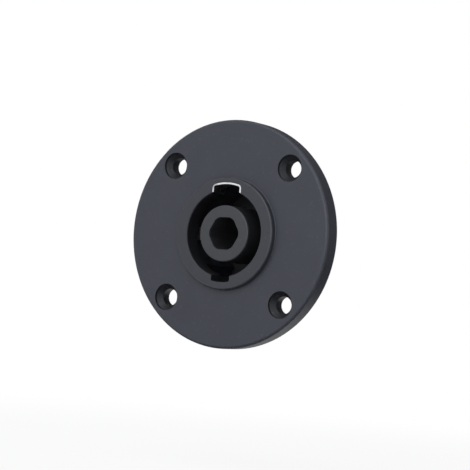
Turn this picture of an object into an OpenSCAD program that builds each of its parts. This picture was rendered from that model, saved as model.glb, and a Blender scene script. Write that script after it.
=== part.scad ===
/* [Flange] */
// Outside diameter of the round flange
flange_d = 57; // [52:0.5:70]
// Thickness of the flange
flange_t = 4.6; // [3.5:0.1:7]
// Radius on the front edge of the flange
flange_edge = 0.7; // [0.2:0.1:1.2]

/* [Fixing holes] */
// Distance from the centre of each fixing hole to the edge of the flange
hole_margin = 4.95; // [4.5:0.05:6]
// Diameter of each fixing hole
hole_d = 4.3; // [3:0.1:4.8]
// Width of the countersink around each hole
sink_w = 1.2; // [0.8:0.05:1.6]
// Included angle of the countersink
sink_angle = 90; // [80:1:100]
// Depth of the straight head recess above the countersink
head_recess = 0.75; // [0.2:0.05:1.2]

/* [Socket] */
// Bore of the front lip that guides the plug
bore_d = 21.4; // [19:0.1:24]
// Chamfer that leads the plug into the bore
bore_lead = 0.2; // [0.1:0.1:0.9]
// Depth of the socket from the front of the boss to its floor
socket_depth = 19; // [16:0.5:24]
// Length of the front lip along the axis
lip_l = 5; // [3:0.1:7]
// Height of the boss above the face of the flange
boss_h = 1.6; // [1.2:0.1:5]
// Wall between the wide key notch and the outside of the boss
boss_wall = 1.25; // [1:0.05:2.5]
// Radius on the front edge of the boss
boss_edge = 0.4; // [0.2:0.1:0.9]
// Fillet between the boss and the face of the flange
boss_fillet = 0.2; // [0.1:0.1:1]

/* [Key notches] */
// Width of the wide key notch
wide_key_w = 8.4; // [7:0.1:10]
// Depth of the wide key notch outside the bore
wide_key_h = 2; // [1.6:0.1:2.6]
// Corner radius of the wide key notch
wide_key_r = 1; // [0.8:0.1:1.4]
// Width of the narrow key notch
narrow_key_w = 5.3; // [4:0.1:7]
// Depth of the narrow key notch outside the bore
narrow_key_h = 1.4; // [1:0.1:1.9]
// Corner radius of the narrow key notch
narrow_key_r = 0.3; // [0.2:0.1:0.6]

/* [Barrel] */
// Room outside the wide key for the plug's lugs to turn behind the lip
race_clear = 0.15; // [0.1:0.05:0.5]
// Width of the shoulder on which the insert seats
seat_w = 0.5; // [0.3:0.05:1]
// Wall of the barrel around the insert
barrel_wall = 1.4; // [1.2:0.1:2.5]
// Length of barrel behind the insert
barrel_rim = 0.8; // [0.4:0.1:3]
// Chamfer on the rear edge of the barrel
barrel_chamfer = 0.5; // [0.2:0.1:0.9]

/* [Turn stops] */
// Angle through which the plug turns from its notches to its stop
lock_turn = 30; // [15:1:45]
// Width of each stop
stop_w = 2; // [1.2:0.1:3]
// Room between the plug and each stop that it passes or lines up with
stop_clear = 0.15; // [0.1:0.05:0.4]

/* [Insert] */
// Thickness of the rear plate that carries the contacts
plate_t = 3.6; // [2.5:0.1:6]
// Clearance around the insert in its seat
insert_fit = 0.1; // [0.05:0.01:0.2]
// Diameter of the central post
post_d = 14; // [12.5:0.1:15]
// Distance of the post's front behind the front of the boss
post_setback = 0.2; // [0:0.1:2]
// Radius on the front edge of the post
post_edge = 0.3; // [0.2:0.1:0.8]
// Width across the flats of the hole in the post
post_hole_af = 8; // [6:0.1:8.6]
// Room across the clipped corners beyond the width across flats
post_hole_clip = 0.5; // [0.2:0.05:1]
// Depth of the hole in the post
post_hole_l = 16; // [8:0.5:18]
// Width of each snap nose
nose_w = 5; // [3:0.1:7]
// Length of each snap nose along the axis
nose_l = 2; // [1.2:0.1:2.4]
// Length of the flat at the tip of each snap nose
nose_land = 0.5; // [0.2:0.1:0.9]
// Height of each snap nose
nose_h = 1; // [0.6:0.05:1.2]
// Clearance around each snap nose in its window
nose_fit = 0.15; // [0.1:0.05:0.3]

/* [Contacts] */
// Thickness of the contact strip
contact_t = 0.8; // [0.5:0.05:1]
// Width of the contact blade
blade_w = 3.2; // [2.4:0.1:4]
// Distance of the blade's tip behind the front of the boss
blade_setback = 7; // [6:0.5:9]
// Length of the springing bow of the blade
bow_l = 7; // [5:0.5:8]
// Height of the springing bow of the blade
bow_h = 0.7; // [0.4:0.05:0.9]
// Straight end of the blade beyond the bow
blade_end = 0.8; // [0.4:0.1:1.5]
// Distance of the inner blades below the surface of the post
inner_sink = 0.1; // [0:0.05:0.3]
// Distance of the outer blades outside the bore
outer_gap = 0.3; // [0.2:0.05:0.5]
// Clearance around each contact in its slot
slot_fit = 0.05; // [0.03:0.01:0.15]
// Width of the flat terminal tab
tab_w = 4.8; // [4:0.1:6.3]
// Length of the flat terminal tab behind the plate
tab_l = 8; // [6:0.5:12]
// Chamfer on the end of the tab
tab_chamfer = 0.9; // [0.4:0.1:1.5]
// Diameter of the hole in the tab
tab_hole_d = 1.6; // [1:0.1:2]
// Distance of the hole from the end of the tab
tab_hole_end = 3; // [2.4:0.1:4]

/* [Latch keeper] */
// Thickness of the keeper's sheet
keeper_t = 0.4; // [0.3:0.05:0.7]
// Clearance between the keeper and its notch
keeper_fit = 0.05; // [0.02:0.01:0.1]
// Distance of the keeper's front edge behind the front of the boss
keeper_setback = 0.1; // [0:0.05:0.5]
// Length of the ears bent out behind the lip
ear_l = 1.4; // [0.8:0.1:2]

/* [Hidden] */
$fn = 96;
// Overlap that keeps cuts clear of shared faces
cut = 1;
// Points along the bow of a contact
bow_steps = 16;

flange_r = flange_d / 2;
bore_r = bore_d / 2;
wide_key_reach = bore_r + wide_key_h;
narrow_key_reach = bore_r + narrow_key_h;
boss_r = wide_key_reach + boss_wall;
race_r = wide_key_reach + race_clear;
seat_r = race_r + seat_w;
barrel_r = seat_r + barrel_wall;
plate_r = seat_r - insert_fit;
post_r = post_d / 2;

// Heights along the socket's axis, from the rear face of the flange towards the plug
boss_z = flange_t + boss_h;
lip_z = boss_z - lip_l;
floor_z = boss_z - socket_depth;
plate_z = floor_z - plate_t;
barrel_z = plate_z - barrel_rim;
post_z = boss_z - post_setback;
nose_z = plate_z + (plate_t - nose_l) / 2;
blade_z = boss_z - blade_setback;
bow_z = blade_z - blade_end - bow_l;
ear_z = lip_z - keeper_fit - keeper_t;
keeper_z = boss_z - keeper_setback;

sink_depth = sink_w / tan(sink_angle / 2);
head_r = hole_d / 2 + sink_w;
hole_place = (flange_r - hole_margin) / sqrt(2);

// Radii of the middle of the inner and outer contact strips
inner_r = post_r - inner_sink - contact_t / 2;
outer_r = bore_r + outer_gap + contact_t / 2;

MOULDING = "#2b2c30";
INSERT = "#333437";
PLATED_STEEL = "#cfd1d3";
SILVER_PLATE = "#d8d5cb";

// Turns the socket's axis level, with its front towards -Y and its wide key up
module seated() {
    rotate([90, 0, 0]) children();
}

// Half section of a disc between two heights, with its front outer corner rounded
module disc_section(r, z_rear, z_front, edge) {
    translate([0, z_rear]) square([r - edge, z_front - z_rear]);
    translate([0, z_rear]) square([r, z_front - z_rear - edge]);
    translate([r - edge, z_front - edge]) circle(edge);
}

// Half section of a round hole between two heights
module hole_section(r, z_rear, z_front) {
    translate([0, z_rear]) square([r, z_front - z_rear]);
}

// Concave fillet that fills the corner right of r and above z
module fillet_section(r, z, fillet) {
    difference() {
        translate([r - fillet, z - fillet]) square(2 * fillet);
        translate([r + fillet, z + fillet]) circle(fillet);
    }
}

// Key notch outline: it reaches out to an arc about the axis, with rounded corners
module key_outline(reach, width, corner) {
    corner_x = width / 2 - corner;
    corner_y = sqrt(pow(reach - corner, 2) - pow(corner_x, 2));
    intersection() {
        circle(reach);
        polygon([[0, 0], 2 * [corner_x, corner_y], 2 * [-corner_x, corner_y]]);
    }
    for (side = [-1, 1]) {
        translate([side * corner_x, corner_y]) circle(corner);
    }
    translate([-width / 2, 0]) square([width, corner_y]);
}

module housing_section() {
    difference() {
        union() {
            disc_section(flange_r, 0, flange_t, flange_edge);
            disc_section(boss_r, 0, boss_z, boss_edge);
            fillet_section(boss_r, flange_t, boss_fillet);
            difference() {
                hole_section(barrel_r, barrel_z, flange_t / 2);
                polygon([
                    [barrel_r - barrel_chamfer, barrel_z],
                    [barrel_r + cut, barrel_z + barrel_chamfer + cut],
                    [barrel_r + cut, barrel_z - cut],
                    [barrel_r - barrel_chamfer, barrel_z - cut]
                ]);
            }
        }
        hole_section(bore_r, barrel_z - cut, boss_z + cut);
        polygon([
            [0, boss_z + cut],
            [bore_r + bore_lead + cut, boss_z + cut],
            [bore_r, boss_z - bore_lead],
            [0, boss_z - bore_lead]
        ]);
        hole_section(race_r, barrel_z - cut, lip_z);
        hole_section(seat_r, barrel_z - cut, floor_z);
    }
}

// Space of one countersunk fixing hole
module fixing_hole() {
    rotate_extrude() polygon([
        [0, -cut],
        [hole_d / 2, -cut],
        [hole_d / 2, flange_t - head_recess - sink_depth],
        [head_r, flange_t - head_recess],
        [head_r, flange_t + cut],
        [0, flange_t + cut]
    ]);
}

// Space of one snap window through the barrel's wall, at the top
module snap_window() {
    width = nose_w + 2 * nose_fit;
    translate([-width / 2, race_r, nose_z - nose_fit])
        cube([width, barrel_r - race_r + cut, nose_l + 2 * nose_fit]);
}

// Rib in the race behind the lip, beside a narrow key at the top, on its right for 1 and left for -1
module turn_stop(side) {
    middle = side * (narrow_key_w / 2 + stop_clear + stop_w / 2);
    translate([0, 0, floor_z]) linear_extrude(lip_z + lip_l / 2 - floor_z) intersection() {
        difference() {
            circle(race_r + seat_w / 2);
            circle(bore_r + stop_clear);
        }
        translate([middle - stop_w / 2, 0]) square([stop_w, seat_r]);
    }
}

// Flange, boss and barrel, with the stops at both ends of the narrow key's turn
module housing() {
    color(MOULDING) seated() difference() {
        union() {
            rotate_extrude() housing_section();
            rotate(180) turn_stop(-1);
            rotate(180 - lock_turn) turn_stop(1);
        }
        translate([0, 0, lip_z - cut]) linear_extrude(lip_l + 2 * cut) {
            key_outline(wide_key_reach, wide_key_w, wide_key_r);
            rotate(180) key_outline(narrow_key_reach, narrow_key_w, narrow_key_r);
        }
        for (x = [-1, 1], y = [-1, 1]) {
            translate([x * hole_place, y * hole_place, 0]) fixing_hole();
        }
        for (turn = [0, 180]) {
            rotate(turn) snap_window();
        }
    }
}

// Nose on the rim of the plate, at the top, sloped towards the front
module snap_nose() {
    root = plate_r - cut;
    tip = plate_r + nose_h;
    translate([-nose_w / 2, 0, 0]) rotate([90, 0, 90]) linear_extrude(nose_w) polygon([
        [root, nose_z],
        [tip, nose_z],
        [tip, nose_z + nose_land],
        [plate_r, nose_z + nose_l],
        [root, nose_z + nose_l]
    ]);
}

// Hole of the post: a hexagon whose corners are clipped by a circle
module post_hole_outline() {
    intersection() {
        circle(d = post_hole_af + post_hole_clip);
        circle(d = post_hole_af / cos(30), $fn = 6);
    }
}

// Slot of one contact strip, with its middle at radius r
module contact_slot(r, z_rear, z_front) {
    depth = contact_t + 2 * slot_fit;
    width = blade_w + 2 * slot_fit;
    translate([r - depth / 2, -width / 2, z_rear]) cube([depth, width, z_front - z_rear]);
}

// Groove along the side of the post, open outwards
module post_groove() {
    depth = contact_t + 2 * slot_fit + inner_sink + cut;
    width = blade_w + 2 * slot_fit;
    translate([inner_r - contact_t / 2 - slot_fit, -width / 2, floor_z])
        cube([depth, width, blade_z + slot_fit - floor_z]);
}

// Central post and rear plate
module contact_insert() {
    color(INSERT) seated() difference() {
        union() {
            rotate_extrude() {
                hole_section(plate_r, plate_z, floor_z);
                disc_section(post_r, plate_z, post_z, post_edge);
            }
            for (turn = [0, 180]) {
                rotate(turn) snap_nose();
            }
        }
        translate([0, 0, post_z - post_hole_l]) linear_extrude(post_hole_l + cut) post_hole_outline();
        for (turn = [0, 180]) {
            rotate(turn) {
                contact_slot(inner_r, plate_z - cut, floor_z + cut);
                contact_slot(outer_r, plate_z - cut, floor_z + cut);
                post_groove();
            }
        }
    }
}

// Channel that lines the wide key notch, held by two ears behind the lip
module latch_keeper() {
    reach = wide_key_reach - keeper_fit;
    width = wide_key_w - 2 * keeper_fit;
    corner = wide_key_r - keeper_fit;
    color(PLATED_STEEL) seated() difference() {
        union() {
            translate([0, 0, ear_z]) linear_extrude(keeper_z - ear_z) {
                key_outline(reach, width, corner);
            }
            translate([0, 0, ear_z]) linear_extrude(keeper_t) intersection() {
                circle(reach);
                translate([-width / 2 - ear_l, 0]) square([width + 2 * ear_l, reach]);
            }
        }
        translate([0, 0, ear_z - cut]) linear_extrude(keeper_z - ear_z + 2 * cut) {
            key_outline(reach - keeper_t, width - 2 * keeper_t, corner - keeper_t);
            circle(bore_r + bore_lead);
        }
    }
}

// Distance of the bow from the strip's straight line, at share u of its length
function bow_rise(u) = bow_h * (1 - cos(360 * u)) / 2;

// One side of the springing strip, as points of radius and height
function blade_side(r, bow_side) = concat(
    [[r, plate_z]],
    [for (i = [0 : bow_steps]) [r + bow_side * bow_rise(i / bow_steps), bow_z + bow_l * i / bow_steps]],
    [[r, blade_z]]
);

function reversed(points) = [for (i = [len(points) - 1 : -1 : 0]) points[i]];

// Stamped contact strip at radius r, its bow outwards for 1 and inwards for -1
module contact_strip(r, bow_side) {
    rotate([90, 0, 0]) linear_extrude(blade_w, center = true) polygon(concat(
        blade_side(r - contact_t / 2, bow_side),
        reversed(blade_side(r + contact_t / 2, bow_side))
    ));
    translate([r - contact_t / 2, 0, plate_z]) rotate([90, 0, 90]) linear_extrude(contact_t) difference() {
        polygon([
            [-tab_w / 2, 0],
            [-tab_w / 2, tab_chamfer - tab_l],
            [tab_chamfer - tab_w / 2, -tab_l],
            [tab_w / 2 - tab_chamfer, -tab_l],
            [tab_w / 2, tab_chamfer - tab_l],
            [tab_w / 2, 0]
        ]);
        translate([0, tab_hole_end - tab_l]) circle(d = tab_hole_d);
    }
}

module contact_1_plus() {
    color(SILVER_PLATE) seated() contact_strip(inner_r, 1);
}

module contact_1_minus() {
    color(SILVER_PLATE) seated() contact_strip(outer_r, -1);
}

module contact_2_plus() {
    color(SILVER_PLATE) seated() rotate(180) contact_strip(inner_r, 1);
}

module contact_2_minus() {
    color(SILVER_PLATE) seated() rotate(180) contact_strip(outer_r, -1);
}

housing();
contact_insert();
latch_keeper();
contact_1_plus();
contact_1_minus();
contact_2_plus();
contact_2_minus();
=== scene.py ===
"""Finishes, moulded marks, studio and camera for a round flange speaker socket.

Lengths are in metres in the part's own frame. The socket's axis is Y, with the plug's side towards -Y
and the panel's face at Y = 0, and Z points up through the wide key notch.
"""

import logging
import math
from abc import ABC, abstractmethod
from dataclasses import dataclass
from enum import Enum

import bpy
from mathutils import Matrix, Vector


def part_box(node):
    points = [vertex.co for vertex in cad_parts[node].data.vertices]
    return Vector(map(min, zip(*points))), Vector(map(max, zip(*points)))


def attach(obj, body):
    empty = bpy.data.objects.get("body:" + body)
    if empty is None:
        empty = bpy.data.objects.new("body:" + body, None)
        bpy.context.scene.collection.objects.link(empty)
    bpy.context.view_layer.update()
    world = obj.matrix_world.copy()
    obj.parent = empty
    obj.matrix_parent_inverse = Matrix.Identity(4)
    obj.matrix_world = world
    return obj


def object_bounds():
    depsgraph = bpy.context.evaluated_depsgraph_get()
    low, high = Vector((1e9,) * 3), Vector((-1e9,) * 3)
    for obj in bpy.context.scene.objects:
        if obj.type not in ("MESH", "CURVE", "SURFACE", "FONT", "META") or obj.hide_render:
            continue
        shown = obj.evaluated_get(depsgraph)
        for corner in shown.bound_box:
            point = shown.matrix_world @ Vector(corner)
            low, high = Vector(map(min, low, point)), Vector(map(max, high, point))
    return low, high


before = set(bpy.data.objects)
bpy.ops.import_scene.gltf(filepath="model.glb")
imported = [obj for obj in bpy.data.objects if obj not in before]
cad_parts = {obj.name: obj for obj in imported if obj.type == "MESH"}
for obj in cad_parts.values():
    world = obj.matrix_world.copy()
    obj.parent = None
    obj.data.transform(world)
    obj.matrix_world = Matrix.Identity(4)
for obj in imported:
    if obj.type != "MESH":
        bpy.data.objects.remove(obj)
CAD_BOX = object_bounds()

MM = 0.001
BODY = "root"
PANEL_FACE = 0.0
NOISE_MIDDLE = 0.5

Colour = tuple[float, float, float, float]
Tint = tuple[float, float, float]
Point = tuple[float, float, float]
Span = tuple[float, float]
Settings = dict[str, object]
Inputs = dict[int | str, object]

logging.basicConfig(level=logging.INFO, format="%(levelname)s %(message)s")
log = logging.getLogger("speaker_socket")


class Pole(Enum):
    """The four poles, each with the CAD node of its contact and the mark moulded beside its tab."""

    ONE_PLUS = ("contact_1_plus", "1+")
    ONE_MINUS = ("contact_1_minus", "1-")
    TWO_PLUS = ("contact_2_plus", "2+")
    TWO_MINUS = ("contact_2_minus", "2-")

    @property
    def node(self) -> str:
        """Name of the CAD node."""
        return self.value[0]

    @property
    def mark(self) -> str:
        """Mark moulded on the rear plate."""
        return self.value[1]


class Wire:
    """A shader value that Python arithmetic can combine with numbers and other values."""

    def __init__(self, graph: "Graph", socket: bpy.types.NodeSocket) -> None:
        """Keep the graph and the output socket that gives the value."""
        self.graph = graph
        self.socket = socket

    def __add__(self, other: "Wire | float") -> "Wire":
        """Sum."""
        return self.graph.math("ADD", self, other)

    def __radd__(self, other: float) -> "Wire":
        """Sum with a number on the left."""
        return self.graph.math("ADD", other, self)

    def __sub__(self, other: "Wire | float") -> "Wire":
        """Difference."""
        return self.graph.math("SUBTRACT", self, other)

    def __rsub__(self, other: float) -> "Wire":
        """Difference from a number on the left."""
        return self.graph.math("SUBTRACT", other, self)

    def __mul__(self, other: "Wire | float") -> "Wire":
        """Product."""
        return self.graph.math("MULTIPLY", self, other)

    def __rmul__(self, other: float) -> "Wire":
        """Product with a number on the left."""
        return self.graph.math("MULTIPLY", other, self)

    def apply(self, operation: str, other: "Wire | float" = 0.0) -> "Wire":
        """Result of another of Blender's Math operations on this value and a second one."""
        return self.graph.math(operation, self, other)

    def hypotenuse(self, other: "Wire") -> "Wire":
        """Long side of a right triangle whose short sides are this value and another."""
        return (self * self + other * other).apply("SQRT")

    def ramp(self, start: float, end: float) -> "Wire":
        """Smooth step of this value, 0 at the start and 1 at the end."""
        inputs = {"Value": self, "From Min": start, "From Max": end}
        return self.graph.value("ShaderNodeMapRange", {"interpolation_type": "SMOOTHSTEP"}, inputs)


class Graph:
    """The node tree of one material or world."""

    def __init__(self, owner: bpy.types.Material | bpy.types.World) -> None:
        """Start an empty tree.

        Args:
            owner: The material or world.
        """
        owner.use_nodes = True
        self.tree = owner.node_tree
        self.tree.nodes.clear()

    def add(
        self,
        kind: str,
        settings: Settings | None = None,
        inputs: Inputs | None = None,
    ) -> bpy.types.Node:
        """Add one node.

        Args:
            kind: Blender's type name of the node.
            settings: Properties of the node, set before its sockets.
            inputs: Numbers, colours, vectors or wires for its sockets, by name or index.

        Returns:
            The node.
        """
        node = self.tree.nodes.new(kind)
        for name, setting in (settings or {}).items():
            setattr(node, name, setting)
        for key, source in (inputs or {}).items():
            socket = self.socket(node.inputs, key)
            if isinstance(source, Wire):
                self.tree.links.new(source.socket, socket)
            else:
                socket.default_value = source
        return node

    @staticmethod
    def socket(sockets: bpy.types.bpy_prop_collection, key: int | str) -> bpy.types.NodeSocket:
        """Find a socket.

        Args:
            sockets: Inputs or outputs of a node.
            key: Index, name or identifier of the socket.

        Returns:
            The socket.
        """
        if isinstance(key, int):
            return sockets[key]
        return next(socket for socket in sockets if key in (socket.identifier, socket.name))

    def value(
        self,
        kind: str,
        settings: Settings | None = None,
        inputs: Inputs | None = None,
        out: int | str = 0,
    ) -> Wire:
        """Add one node as add() does, and take one of its outputs by name or index."""
        return Wire(self, self.socket(self.add(kind, settings, inputs).outputs, out))

    def math(self, operation: str, first: Wire | float, second: Wire | float) -> Wire:
        """Add one Math node for an operation on two values."""
        return self.value("ShaderNodeMath", {"operation": operation}, {0: first, 1: second})

    def place(self) -> Wire:
        """Position on the piece, in metres in the part's frame."""
        return self.value("ShaderNodeTexCoord", out="Object")

    def axes(self, vector: Wire) -> tuple[Wire, Wire, Wire]:
        """Split a position into its X, Y and Z."""
        outputs = self.add("ShaderNodeSeparateXYZ", inputs={"Vector": vector}).outputs
        return Wire(self, outputs["X"]), Wire(self, outputs["Y"]), Wire(self, outputs["Z"])

    def blend(self, factor: Wire | float, first: Wire | Colour, second: Wire | Colour) -> Wire:
        """Mix two colours by the share of the second one."""
        inputs = {"Factor_Float": factor, "A_Color": first, "B_Color": second}
        return self.value("ShaderNodeMix", {"data_type": "RGBA"}, inputs, "Result_Color")

    def surface(self, **inputs: object) -> None:
        """Finish a material with one Principled shader.

        Args:
            inputs: Values or wires of the shader's sockets, with _ for a space in a name.
        """
        named = {key.replace("_", " "): source for key, source in inputs.items()}
        shader = self.value("ShaderNodeBsdfPrincipled", inputs=named)
        self.add("ShaderNodeOutputMaterial", inputs={"Surface": shader})

    def relief(self, height: Wire) -> Wire:
        """Normal of a relief whose height over the surface is given in millimetres."""
        return self.value("ShaderNodeBump", inputs={"Height": height, "Distance": MM}, out="Normal")


def toned(colour: Colour, factor: float) -> Colour:
    """Colour times a factor, with its alpha kept."""
    return (colour[0] * factor, colour[1] * factor, colour[2] * factor, colour[3])


@dataclass(frozen=True)
class Noise:
    """A noise pattern, with the size of its features, its finer layers and their strength."""

    feature: float
    detail: float = 2.0
    share: float = 0.5

    def value(self, graph: Graph, place: Wire) -> Wire:
        """Build the pattern.

        Args:
            graph: Tree of the material.
            place: Position on the piece.

        Returns:
            A value around NOISE_MIDDLE.
        """
        inputs = {
            "Vector": place,
            "Scale": 1.0 / self.feature,
            "Detail": self.detail,
            "Roughness": self.share,
        }
        return graph.value("ShaderNodeTexNoise", {"noise_dimensions": "3D"}, inputs, "Fac")


@dataclass(frozen=True)
class SpotRing:
    """Spots spaced evenly on a circle around the socket's axis, or the axis itself on a circle of 0."""

    count: int = 1
    circle: float = 0.0
    first: float = 0.0

    def distance(self, graph: Graph, place: Wire) -> Wire:
        """Distance from the nearest spot, across the axis.

        Args:
            graph: Tree of the material.
            place: Position on the piece.

        Returns:
            The distance in metres.
        """
        x, _, z = graph.axes(place)
        radius = x.hypotenuse(z)
        if not self.circle:
            return radius
        step = 2 * math.pi / self.count
        turn = z.apply("ARCTAN2", x) - self.first
        turn = (turn + step / 2).apply("FLOORED_MODULO", step) - step / 2
        along = radius * turn.apply("COSINE") - self.circle
        across = radius * turn.apply("SINE")
        return along.hypotenuse(across)


@dataclass(frozen=True)
class PinMarks:
    """Round witness lines that the ejector pins leave on a rear face."""

    spots: SpotRing
    pin: float
    face: float
    line: float = 0.12 * MM

    def relief(self, graph: Graph, place: Wire) -> Wire:
        """Pattern of the lines.

        Args:
            graph: Tree of the material.
            place: Position on the piece.

        Returns:
            1 on a line and 0 off it.
        """
        off = (self.spots.distance(graph, place) - self.pin).apply("ABSOLUTE")
        _, y, _ = graph.axes(place)
        return off.ramp(self.line, 0.0) * y.ramp(self.face - 2 * self.line, self.face - self.line)


@dataclass(frozen=True)
class TurnedZone:
    """A round zone at each spot of a ring, between two depths, with a tone of its own."""

    colour: Colour
    spots: SpotRing
    radius: float
    front: float
    rear: float
    blur: float = 0.15 * MM

    def mask(self, graph: Graph, place: Wire) -> Wire:
        """Share of the zone at a position.

        Args:
            graph: Tree of the material.
            place: Position on the piece.

        Returns:
            1 in the zone and 0 outside it.
        """
        _, y, _ = graph.axes(place)
        near = self.spots.distance(graph, place).ramp(self.radius + self.blur, self.radius)
        behind_front = y.ramp(self.front, self.front + self.blur)
        before_rear = y.ramp(self.rear, self.rear - self.blur)
        return near * behind_front * before_rear


@dataclass(frozen=True)
class WearAndHighlightEdge:
    """A turned edge that handling has polished and that is painted lighter as a highlight, at a radius
    and a depth.
    """

    radius: float
    depth: float
    width: float = 0.8 * MM

    def mask(self, graph: Graph, place: Wire) -> Wire:
        """Share of the polish and of the painted highlight at a position.

        Args:
            graph: Tree of the material.
            place: Position on the piece.

        Returns:
            1 on the edge and 0 away from it.
        """
        _, y, _ = graph.axes(place)
        outward = SpotRing().distance(graph, place) - self.radius
        along = y - self.depth
        return outward.hypotenuse(along).ramp(self.width, 0.0)


@dataclass(frozen=True)
class MouldedPlastic:
    """Black glass-filled polyamide with a fine spark-eroded grain."""

    name: str
    colour: Colour
    specular: float = 0.35
    roughness: float = 0.46
    cloud: Noise = Noise(9 * MM, detail=3.0)
    cloud_tone: float = 0.12
    cloud_roughness: float = 0.10
    grain: Noise = Noise(0.28 * MM, detail=3.0, share=0.6)
    grain_roughness: float = 0.14
    grain_height_mm: float = 0.010
    fleck: Noise = Noise(0.7 * MM, detail=1.0)
    fleck_span: Span = (0.66, 0.76)
    fleck_tone: float = 1.6
    fleck_share: float = 0.5
    rub: Noise = Noise(1.4 * MM, detail=3.0, share=0.6)
    rub_span: Span = (0.30, 0.70)
    # Lighter tone of rubbed edges, partly wear and partly a painted highlight.
    rub_and_highlight_tone: float = 2.0
    rub_share: float = 0.3
    rub_polish: float = 0.03
    pin_height_mm: float = 0.05
    zones: tuple[TurnedZone, ...] = ()
    edges: tuple[WearAndHighlightEdge, ...] = ()
    pins: PinMarks | None = None

    def material(self) -> bpy.types.Material:
        """Build the material.

        Returns:
            The material.
        """
        material = bpy.data.materials.new(self.name)
        graph = Graph(material)
        place = graph.place()
        cloud = self.cloud.value(graph, place)
        grain = self.grain.value(graph, place)
        fleck = self.fleck.value(graph, place).ramp(*self.fleck_span)
        rub = self.rub.value(graph, place).ramp(*self.rub_span)
        dark = toned(self.colour, 1 - self.cloud_tone)
        pale = toned(self.colour, 1 + self.cloud_tone)
        tone = graph.blend(cloud, dark, pale)
        rough = self.roughness + (cloud - NOISE_MIDDLE) * self.cloud_roughness
        rough = rough + (grain - NOISE_MIDDLE) * self.grain_roughness
        height = grain * self.grain_height_mm
        for zone in self.zones:
            tone = graph.blend(zone.mask(graph, place), tone, zone.colour)
        tone = graph.blend(fleck * self.fleck_share, tone, toned(self.colour, self.fleck_tone))
        # Rubbed edges: the lighter tone is partly wear and partly a painted highlight; the polish
        # lowers roughness.
        for edge in self.edges:
            worn_and_highlight = edge.mask(graph, place) * rub
            tone = graph.blend(worn_and_highlight * self.rub_share, tone, toned(self.colour, self.rub_and_highlight_tone))
            rough = rough - worn_and_highlight * self.rub_polish
        if self.pins:
            height = height + self.pins.relief(graph, place) * self.pin_height_mm
        graph.surface(
            Base_Color=tone,
            Roughness=rough,
            Specular_IOR_Level=self.specular,
            Normal=graph.relief(height),
        )
        return material


@dataclass(frozen=True)
class PlatedMetal:
    """Plated sheet metal with faint rolling streaks and a thin veil of tarnish."""

    name: str
    colour: Colour
    tarnish: Colour
    roughness: float
    streak: Noise = Noise(0.12 * MM)
    streak_length: float = 14.0
    streak_roughness: float = 0.14
    streak_height_mm: float = 0.0007
    veil: Noise = Noise(2.5 * MM, detail=3.0)
    veil_span: Span = (0.45, 0.75)
    veil_share: float = 0.35
    veil_roughness: float = 0.10

    def material(self) -> bpy.types.Material:
        """Build the material.

        Returns:
            The material.
        """
        material = bpy.data.materials.new(self.name)
        graph = Graph(material)
        place = graph.place()
        drawn_out = {"Vector": place, "Scale": (1.0, 1.0 / self.streak_length, 1.0)}
        streak = self.streak.value(graph, graph.value("ShaderNodeMapping", inputs=drawn_out))
        veil = self.veil.value(graph, place).ramp(*self.veil_span)
        rough = self.roughness + (streak - NOISE_MIDDLE) * self.streak_roughness
        rough = rough + veil * self.veil_roughness
        graph.surface(
            Base_Color=graph.blend(veil * self.veil_share, self.colour, self.tarnish),
            Metallic=1.0,
            Roughness=rough,
            Normal=graph.relief(streak * self.streak_height_mm),
        )
        return material


def dressed(node: str, material: bpy.types.Material) -> bpy.types.Object:
    """Give a CAD node its finish.

    Args:
        node: Name of the node.
        material: The finish.

    Returns:
        The node's object.
    """
    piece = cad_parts[node]
    for slot in piece.material_slots:
        slot.material = material
    return piece


class Assembly(ABC):
    """A group of pieces that are made or dressed together."""

    @abstractmethod
    def build(self) -> list[bpy.types.Object]:
        """Make or dress the pieces and return them."""


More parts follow.
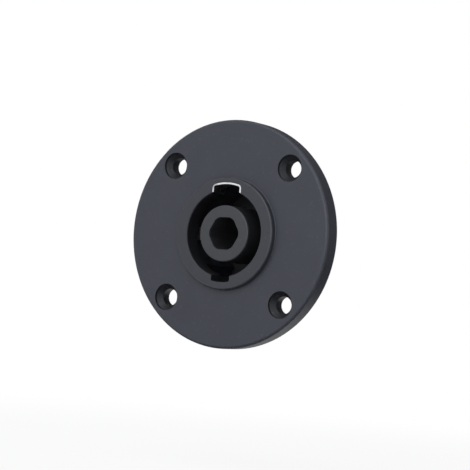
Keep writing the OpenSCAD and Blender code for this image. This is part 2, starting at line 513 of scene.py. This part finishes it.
@dataclass
class Housing(Assembly):
    """Flange, boss and barrel, one moulding, with shade painted darker in the socket and in the screw
    recesses.
    """

    node: str = "housing"
    colour: Colour = (0.0330, 0.0342, 0.0455, 1.0)
    boss_colour: Colour = (0.0300, 0.0308, 0.0380, 1.0)
    # Painted shade: the socket's inside is coloured darker than the moulding.
    socket_shade_colour: Colour = (0.012, 0.012, 0.014, 1.0)
    # Painted shade: the screw recesses are coloured darker than the face.
    recess_shade_colour: Colour = (0.0132, 0.0136, 0.0170, 1.0)
    boss_radius: float = 13.95 * MM
    boss_height: float = 1.6 * MM
    boss_foot: float = 0.2 * MM
    barrel_radius: float = 14.75 * MM
    socket_radius: float = 13.4 * MM
    socket_depth: float = 9 * MM
    lip_line: float = 0.05 * MM
    screw_holes: SpotRing = SpotRing(count=4, circle=23.55 * MM, first=math.pi / 4)
    recess_radius: float = 3.45 * MM
    recess_rear: float = -0.4 * MM
    pins: SpotRing = SpotRing(count=4, circle=20.5 * MM)
    pin_radius: float = 2 * MM
    margin: float = 1 * MM

    def build(self) -> list[bpy.types.Object]:
        """Dress the moulding.

        Returns:
            The housing.
        """
        low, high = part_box(self.node)
        flange_front = low.y + self.boss_height
        finish = MouldedPlastic(
            "moulded_black",
            self.colour,
            zones=self._zones(low.y, flange_front),
            # Edges painted lighter, partly wear and partly a painted highlight.
            edges=(
                WearAndHighlightEdge(high.x, flange_front),
                WearAndHighlightEdge(high.x, PANEL_FACE),
                WearAndHighlightEdge(self.boss_radius, low.y),
                WearAndHighlightEdge(self.barrel_radius, high.y),
            ),
            pins=PinMarks(self.pins, self.pin_radius, PANEL_FACE),
        )
        return [dressed(self.node, finish.material())]

    def _zones(self, front: float, flange_front: float) -> tuple[TurnedZone, ...]:
        """Zones of the boss's tone and of the painted shade in the socket and in the screw recesses.

        Args:
            front: Depth of the boss's front.
            flange_front: Depth of the flange's front.

        Returns:
            The zones, in the order in which they are laid on.
        """
        axis = SpotRing()
        boss = TurnedZone(
            self.boss_colour,
            axis,
            self.boss_radius,
            front=front - self.margin,
            rear=flange_front - self.boss_foot,
        )
        # Painted shade in the socket, darker than the moulding.
        socket = TurnedZone(
            self.socket_shade_colour,
            axis,
            self.socket_radius,
            front=front + self.lip_line,
            rear=front + self.socket_depth,
        )
        # Painted shade in the screw recesses.
        recesses = TurnedZone(
            self.recess_shade_colour,
            self.screw_holes,
            self.recess_radius,
            front=flange_front,
            rear=self.recess_rear,
        )
        return (boss, socket, recesses)


@dataclass
class ContactInsert(Assembly):
    """Central post and rear plate, one moulding, with shade painted darker inside the socket."""

    node: str = "contact_insert"
    colour: Colour = (0.0345, 0.0355, 0.0400, 1.0)
    # Painted shade: the insert's surfaces deep in the socket are coloured darker.
    inside_shade_colour: Colour = (0.020, 0.020, 0.022, 1.0)
    cloud: Noise = Noise(6 * MM, detail=3.0)
    post_radius: float = 7 * MM
    post_edge: float = 0.5 * MM
    post_line: float = 0.6 * MM
    inside_radius: float = 13.4 * MM
    pins: SpotRing = SpotRing(count=2, circle=9 * MM, first=math.pi / 2)
    pin_radius: float = 1.25 * MM
    margin: float = 1 * MM

    def build(self) -> list[bpy.types.Object]:
        """Dress the moulding.

        Returns:
            The insert.
        """
        low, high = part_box(self.node)
        # Painted shade deep in the socket.
        inside = TurnedZone(
            self.inside_shade_colour,
            SpotRing(),
            self.inside_radius,
            front=low.y + self.post_line,
            rear=high.y - self.margin,
        )
        finish = MouldedPlastic(
            "insert_black",
            self.colour,
            cloud=self.cloud,
            zones=(inside,),
            edges=(WearAndHighlightEdge(self.post_radius, low.y, self.post_edge),),
            pins=PinMarks(self.pins, self.pin_radius, high.y),
        )
        return [dressed(self.node, finish.material())]


@dataclass
class LatchKeeper(Assembly):
    """Bent sheet steel channel in the wide key notch."""

    node: str = "latch_keeper"
    finish: PlatedMetal = PlatedMetal(
        "bright_nickel",
        colour=(0.72, 0.72, 0.735, 1.0),
        tarnish=(0.29, 0.285, 0.29, 1.0),
        roughness=0.28,
        veil=Noise(1.6 * MM, detail=3.0),
        veil_share=0.8,
    )

    def build(self) -> list[bpy.types.Object]:
        """Dress the channel and return it."""
        return [dressed(self.node, self.finish.material())]


@dataclass
class SpringContacts(Assembly):
    """Four stamped strips, each a spring in the socket and a tab behind the rear plate."""

    finish: PlatedMetal = PlatedMetal(
        "silver_plate",
        colour=(0.86, 0.84, 0.79, 1.0),
        tarnish=(0.56, 0.47, 0.33, 1.0),
        roughness=0.30,
    )

    def build(self) -> list[bpy.types.Object]:
        """Dress the strips and return them."""
        silver = self.finish.material()
        return [dressed(pole.node, silver) for pole in Pole]


@dataclass
class PoleMarks(Assembly):
    """Raised marks on the rear plate, one above each terminal tab."""

    height: float = 2.3 * MM
    relief: float = 0.45 * MM
    edge: float = 0.06 * MM
    bolder: float = 0.05 * MM
    root: float = 0.05 * MM
    above_tab: float = 1 * MM
    inward: float = 1.6 * MM
    facing: Point = (math.pi / 2, 0.0, math.pi)
    capital_share: float = 0.7
    seam: float = 0.001 * MM
    slot: str = "insert"
    finish: MouldedPlastic = MouldedPlastic("raised_black", (0.062, 0.063, 0.068, 1.0), roughness=0.38)

    def build(self) -> list[bpy.types.Object]:
        """Make the marks and return them."""
        material = self.finish.material()
        return [self._mark(pole, material) for pole in Pole]

    def _spot(self, pole: Pole) -> Point:
        """Foot of a mark.

        Args:
            pole: The pole to mark.

        Returns:
            The middle of the mark's base line, half way up its relief.
        """
        low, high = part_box(pole.node)
        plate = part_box("contact_insert")[1].y
        middle = (low.x + high.x) / 2
        inner = math.copysign(abs(middle) - self.inward, middle)
        return (inner, plate + self.relief / 2 - self.root, high.z + self.above_tab)

    def _letters(self, pole: Pole) -> bpy.types.Object:
        """Model the letters of a mark.

        Args:
            pole: The pole to mark.

        Returns:
            A closed mesh with its place in its points.
        """
        bpy.ops.object.select_all(action="DESELECT")
        bpy.ops.object.text_add(location=self._spot(pole), rotation=self.facing)
        text = bpy.context.object.data
        text.body = pole.mark
        text.align_x = "CENTER"
        text.size = self.height / self.capital_share
        text.offset = self.bolder
        text.bevel_depth = self.edge
        text.extrude = self.relief / 2 - self.edge
        bpy.ops.object.convert(target="MESH")
        bpy.ops.object.transform_apply(location=True, rotation=True, scale=True)
        bpy.ops.object.mode_set(mode="EDIT")
        bpy.ops.mesh.select_all(action="SELECT")
        bpy.ops.mesh.remove_doubles(threshold=self.seam)
        bpy.ops.mesh.normals_make_consistent(inside=False)
        bpy.ops.object.mode_set(mode="OBJECT")
        return bpy.context.object

    def _mark(self, pole: Pole, material: bpy.types.Material) -> bpy.types.Object:
        """Make one mark.

        Args:
            pole: The pole to mark.
            material: Its finish.

        Returns:
            The finished piece.
        """
        mark = self._letters(pole)
        mark.name = pole.node.replace("contact", "mark")
        mark.data.materials.clear()
        mark.data.materials.append(material)
        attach(mark, BODY)
        return mark


@dataclass(frozen=True)
class Softbox:
    """A square area light that looks at the socket."""

    name: str
    place: Point
    side: float
    watts: float
    colour: Tint = (1.0, 1.0, 1.0)

    def build(self) -> bpy.types.Object:
        """Hang the light and turn it to the origin.

        Returns:
            The light.
        """
        bpy.ops.object.light_add(type="AREA", location=self.place)
        light = bpy.context.object
        light.name = self.name
        light.data.shape = "SQUARE"
        light.data.size = self.side
        light.data.energy = self.watts
        light.data.color = self.colour
        light.rotation_mode = "QUATERNION"
        light.rotation_quaternion = (-Vector(self.place)).to_track_quat("-Z", "Y")
        return light


@dataclass(frozen=True)
class DarkCard:
    """A dark card between two corners, seen only by reflections."""

    name: str
    low: Point
    high: Point
    tone: float = 0.02

    def build(self) -> bpy.types.Object:
        """Hang the card.

        Returns:
            The card.
        """
        low, high = Vector(self.low), Vector(self.high)
        bpy.ops.mesh.primitive_cube_add(size=1.0, location=(low + high) / 2, scale=high - low)
        card = bpy.context.object
        card.name = self.name
        card.visible_camera = False
        card.visible_diffuse = False
        card.visible_transmission = False
        card.visible_shadow = False
        card.data.materials.append(self._material())
        return card

    def _material(self) -> bpy.types.Material:
        """Build the even grey of the card.

        Returns:
            The material.
        """
        material = bpy.data.materials.new(self.name)
        graph = Graph(material)
        grey = (self.tone, self.tone, self.tone, 1.0)
        dark = graph.value("ShaderNodeEmission", inputs={"Color": grey})
        graph.add("ShaderNodeOutputMaterial", inputs={"Surface": dark})
        return material


@dataclass
class Studio(Assembly):
    """White floor, white surround, soft lights and dark cards."""

    floor_drop: float = 32 * MM
    floor_side: float = 6.0
    paper: Colour = (0.8, 0.8, 0.8, 1.0)
    shade: Colour = (0.16, 0.16, 0.16, 1.0)
    glow: float = 0.82
    shade_near: float = 0.12
    shade_far: float = 0.30
    white: Colour = (1.0, 1.0, 1.0, 1.0)
    backdrop: float = 1.0
    surround: float = 0.38
    softboxes: tuple[Softbox, ...] = (
        Softbox("key_softbox", (0.20, -1.30, 0.90), side=1.8, watts=17.0, colour=(0.93, 0.97, 1.0)),
        Softbox("front_softbox", (0.15, -0.62, -0.06), side=0.5, watts=1.5, colour=(0.85, 0.94, 1.0)),
        Softbox("rear_softbox", (-0.55, 0.80, 0.12), side=1.4, watts=12.0),
    )
    cards: tuple[DarkCard, ...] = (
        DarkCard("front_low_card", (-0.10, -0.08, -0.058), (0.14, 0.02, -0.056)),
        DarkCard("right_low_card", (0.045, 0.03, -0.058), (0.60, 0.60, -0.056)),
        DarkCard("rear_low_card", (-0.40, 0.11, -0.058), (0.03, 0.60, -0.056)),
        DarkCard("left_low_card", (-0.90, -0.05, -0.058), (-0.41, 0.60, -0.056), tone=0.10),
        DarkCard("rear_right_card", (0.10, 0.50, -0.05), (0.60, 0.51, 0.50), tone=0.05),
        DarkCard("rear_top_card", (-0.60, 0.50, 0.03), (0.10, 0.51, 0.90)),
    )

    def build(self) -> list[bpy.types.Object]:
        """Set up the surround and return the floor, the cards and the lights."""
        self._surround()
        return [self._floor(), *(item.build() for item in (*self.cards, *self.softboxes))]

    @staticmethod
    def _shown(graph: Graph) -> Wire:
        """Rays that show the backdrop.

        Args:
            graph: Tree of the material or world.

        Returns:
            1 for straight, mirrored and refracted rays, and 0 for the others.
        """
        rays = graph.add("ShaderNodeLightPath").outputs
        camera = Wire(graph, rays["Is Camera Ray"])
        mirrored = camera.apply("MAXIMUM", Wire(graph, rays["Is Glossy Ray"]))
        return mirrored.apply("MAXIMUM", Wire(graph, rays["Is Transmission Ray"]))

    def _light(self, graph: Graph, kind: str, strength: float) -> Wire:
        """White light of a strength, from an Emission or a Background node."""
        return graph.value(kind, inputs={"Color": self.white, "Strength": strength})

    def _floor(self) -> bpy.types.Object:
        """Lay the floor.

        Returns:
            The floor.
        """
        bpy.ops.mesh.primitive_plane_add(size=self.floor_side)
        floor = bpy.context.object
        floor.name = "floor"
        floor.location.z = CAD_BOX[0].z - self.floor_drop
        floor.data.materials.append(self._floor_paper())
        return floor

    def _floor_paper(self) -> bpy.types.Material:
        """Build the floor's paper, white where it shows, with the shadow kept near the socket.

        Returns:
            The material.
        """
        material = bpy.data.materials.new("floor_paper")
        graph = Graph(material)
        x, y, _ = graph.axes(graph.place())
        far = x.hypotenuse(y).ramp(self.shade_near, self.shade_far)
        paper = graph.value("ShaderNodeBsdfDiffuse", inputs={"Color": self.paper})
        shaded = graph.value("ShaderNodeBsdfDiffuse", inputs={"Color": self.shade})
        glow = self._light(graph, "ShaderNodeEmission", self.glow)
        white = self._light(graph, "ShaderNodeEmission", self.backdrop)
        near = graph.value("ShaderNodeAddShader", inputs={0: glow, 1: shaded})
        seen = graph.value("ShaderNodeMixShader", inputs={0: far, 1: near, 2: white})
        mixed = graph.value("ShaderNodeMixShader", inputs={0: self._shown(graph), 1: paper, 2: seen})
        graph.add("ShaderNodeOutputMaterial", inputs={"Surface": mixed})
        return material

    def _surround(self) -> None:
        """Make the surround white where it shows and a plain soft light elsewhere."""
        world = bpy.data.worlds.new("surround")
        graph = Graph(world)
        soft = self._light(graph, "ShaderNodeBackground", self.surround)
        white = self._light(graph, "ShaderNodeBackground", self.backdrop)
        mixed = graph.value("ShaderNodeMixShader", inputs={0: self._shown(graph), 1: soft, 2: white})
        graph.add("ShaderNodeOutputWorld", inputs={"Surface": mixed})
        bpy.context.scene.world = world


@dataclass
class PhotoCamera(Assembly):
    """Camera at the photograph's view of the flange, with its angles in degrees."""

    azimuth: float = 31.81
    elevation: float = -2.42
    roll: float = 4.19
    distance: float = 405.1 * MM
    aim_right: float = -0.32 * MM
    aim_up: float = 0.03 * MM
    focal_px: float = 1618.9
    image_px: float = 470.0
    sensor: float = 36.0
    near: float = 10 * MM

    def build(self) -> list[bpy.types.Object]:
        """Place the camera.

        Returns:
            The camera.
        """
        turn, rise = math.radians(self.azimuth), math.radians(self.elevation)
        level = math.cos(rise)
        forward = Vector((-math.sin(turn) * level, math.cos(turn) * level, -math.sin(rise)))
        level_right = Vector((math.cos(turn), math.sin(turn), 0))
        right = Matrix.Rotation(-math.radians(self.roll), 3, forward) @ level_right
        up = right.cross(forward)
        place = right * self.aim_right + up * self.aim_up - forward * self.distance
        facing = Matrix((right, up, -forward)).transposed().to_4x4()
        bpy.ops.object.camera_add()
        camera = bpy.context.object
        camera.name = "photo_camera"
        camera.data.sensor_width = self.sensor
        camera.data.lens = self.sensor * self.focal_px / self.image_px
        camera.data.clip_start = self.near
        camera.matrix_world = Matrix.Translation(place) @ facing
        bpy.context.scene.camera = camera
        return [camera]


def main() -> None:
    """Build the assemblies in order."""
    assemblies: tuple[Assembly, ...] = (
        Housing(),
        ContactInsert(),
        LatchKeeper(),
        SpringContacts(),
        PoleMarks(),
        Studio(),
        PhotoCamera(),
    )
    for assembly in assemblies:
        for piece in assembly.build():
            log.info("%s: %s", type(assembly).__name__, piece.name)
    bpy.context.scene.view_settings.view_transform = "Standard"


if __name__ == "__main__":
    main()
